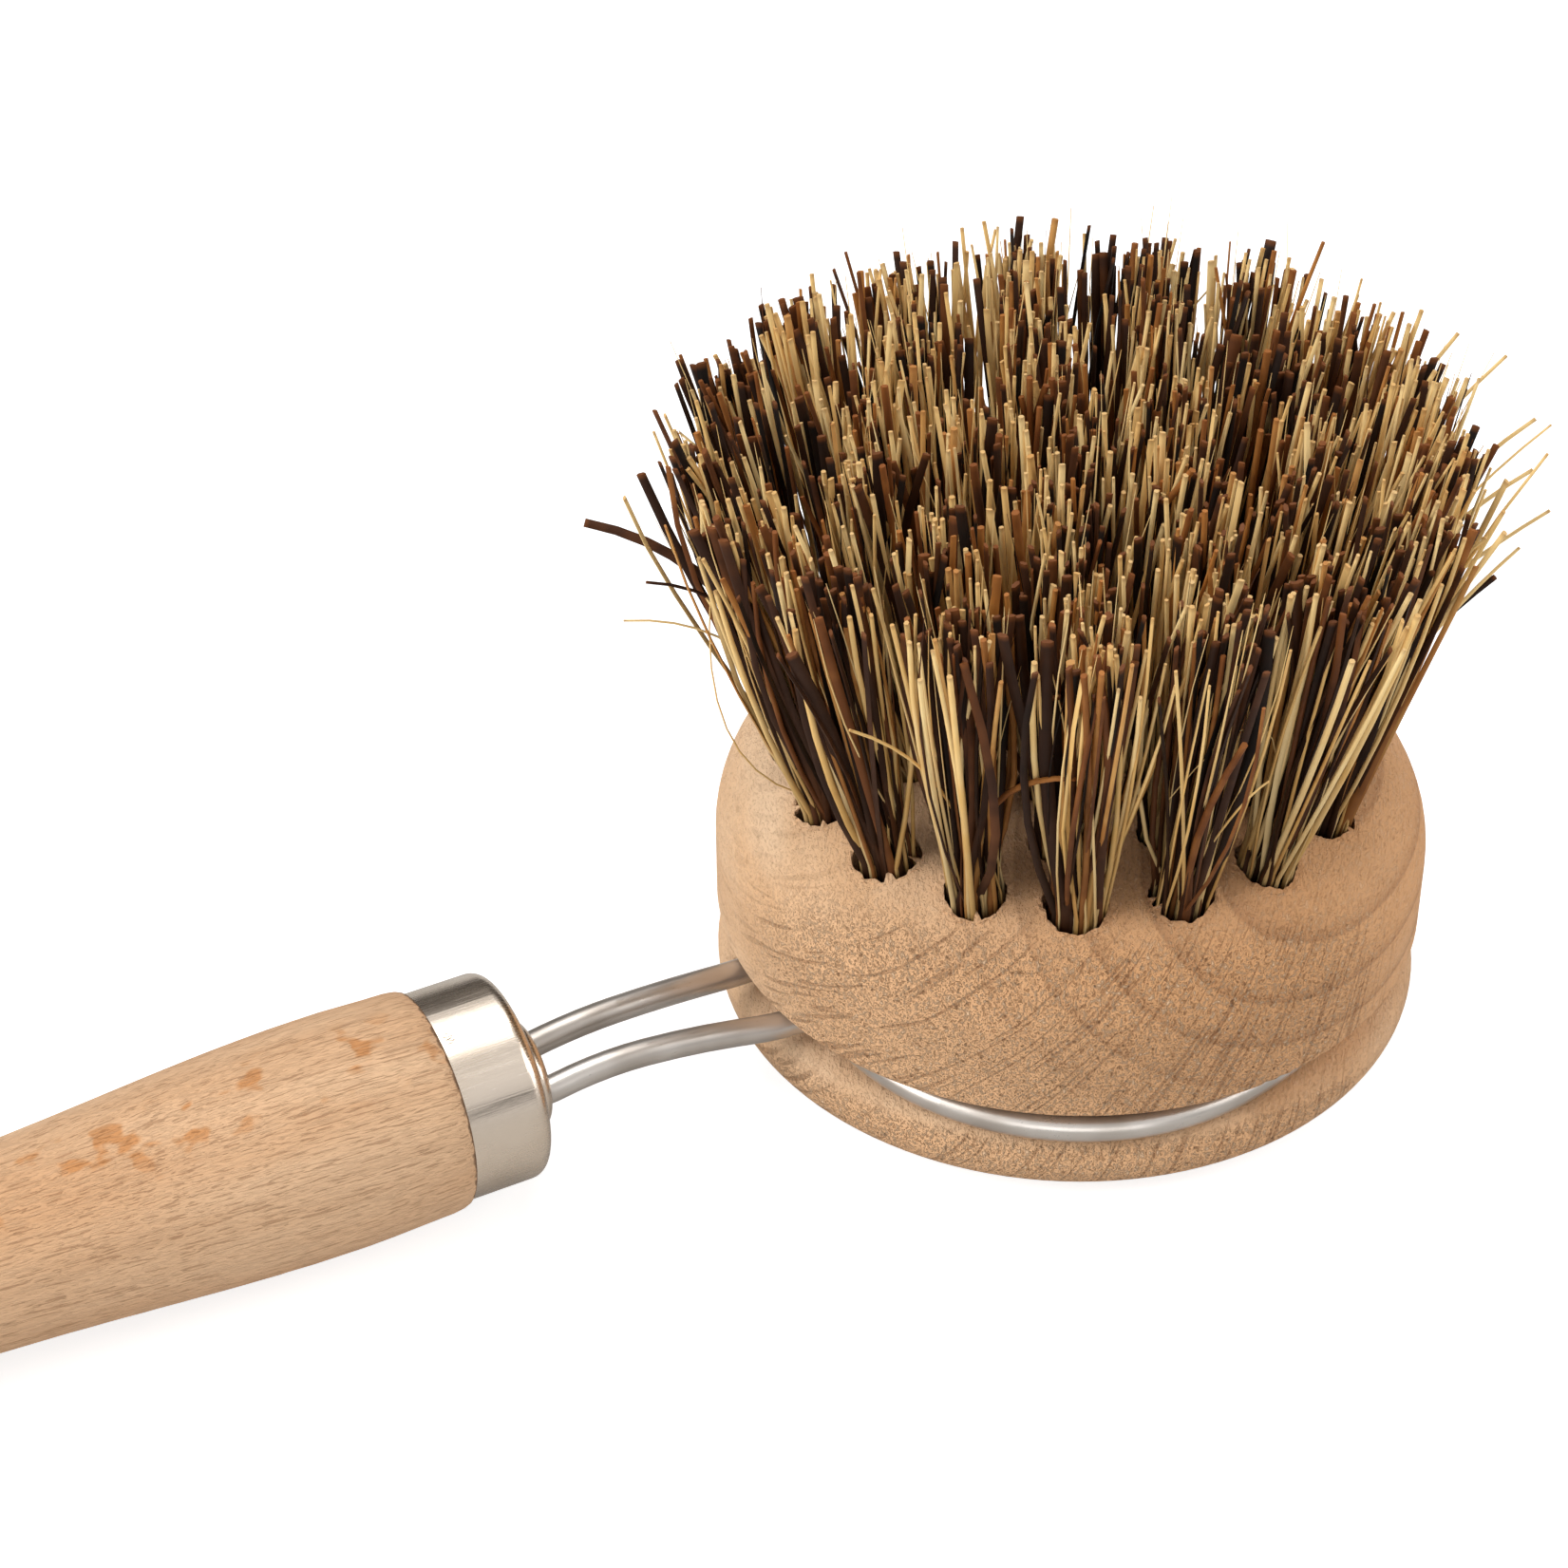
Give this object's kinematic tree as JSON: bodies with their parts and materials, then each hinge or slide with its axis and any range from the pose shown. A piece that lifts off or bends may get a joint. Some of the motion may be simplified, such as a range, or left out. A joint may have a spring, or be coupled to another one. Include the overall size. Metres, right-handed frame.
{
  "type": "dish brush",
  "caption": "Round wooden dish brush: a turned beech head with mixed plant-fibre tufts turns in a wire bow that a metal ferrule holds on a turned beech handle.",
  "frame": {"origin": "centre of the head's flat back, on the axis that the head turns about", "axes": "+Z along the head's axis towards the bristle tips, -X along the handle towards its tail, +Y to complete a right-handed frame"},
  "size_m": [0.2423, 0.0547, 0.0462],
  "materials": {
    "beech_head": "raw turned beech, sanded",
    "beech_handle": "raw turned beech, sanded",
    "plant_fibre": "mixed pale and dark stiff plant fibres",
    "nickel_ferrule": "nickel-plated sheet, lightly brushed",
    "stainless_wire": "drawn stainless wire",
    "steel_anchor": "flat steel wire"
  },
  "bodies": {
    "grip": {"handle": "beech_handle", "ferrule": "nickel_ferrule", "wire_bow": "stainless_wire"},
    "head": {"head_block": "beech_head", "tuft_anchors": "steel_anchor", "tuft_centre": "plant_fibre", "tuft_ring_1_01": "plant_fibre", "tuft_ring_1_02": "plant_fibre", "tuft_ring_1_03": "plant_fibre", "tuft_ring_1_04": "plant_fibre", "tuft_ring_1_05": "plant_fibre", "tuft_ring_2_01": "plant_fibre", "tuft_ring_2_02": "plant_fibre", "tuft_ring_2_03": "plant_fibre", "tuft_ring_2_04": "plant_fibre", "tuft_ring_2_05": "plant_fibre", "tuft_ring_2_06": "plant_fibre", "tuft_ring_2_07": "plant_fibre", "tuft_ring_2_08": "plant_fibre", "tuft_ring_2_09": "plant_fibre", "tuft_ring_2_10": "plant_fibre", "tuft_ring_2_11": "plant_fibre", "tuft_ring_3_01": "plant_fibre", "tuft_ring_3_02": "plant_fibre", "tuft_ring_3_03": "plant_fibre", "tuft_ring_3_04": "plant_fibre", "tuft_ring_3_05": "plant_fibre", "tuft_ring_3_06": "plant_fibre", "tuft_ring_3_07": "plant_fibre", "tuft_ring_3_08": "plant_fibre", "tuft_ring_3_09": "plant_fibre", "tuft_ring_3_10": "plant_fibre", "tuft_ring_3_11": "plant_fibre", "tuft_ring_3_12": "plant_fibre", "tuft_ring_3_13": "plant_fibre", "tuft_ring_3_14": "plant_fibre", "tuft_ring_3_15": "plant_fibre", "tuft_ring_3_16": "plant_fibre", "tuft_ring_3_17": "plant_fibre"}
  },
  "joints": [
    {"name": "head_spin", "type": "hinge", "parent": "grip", "child": "head", "pos_m": [0, 0, 0.00515], "axis": [0, 0, 1], "continuous": true}
  ]
}
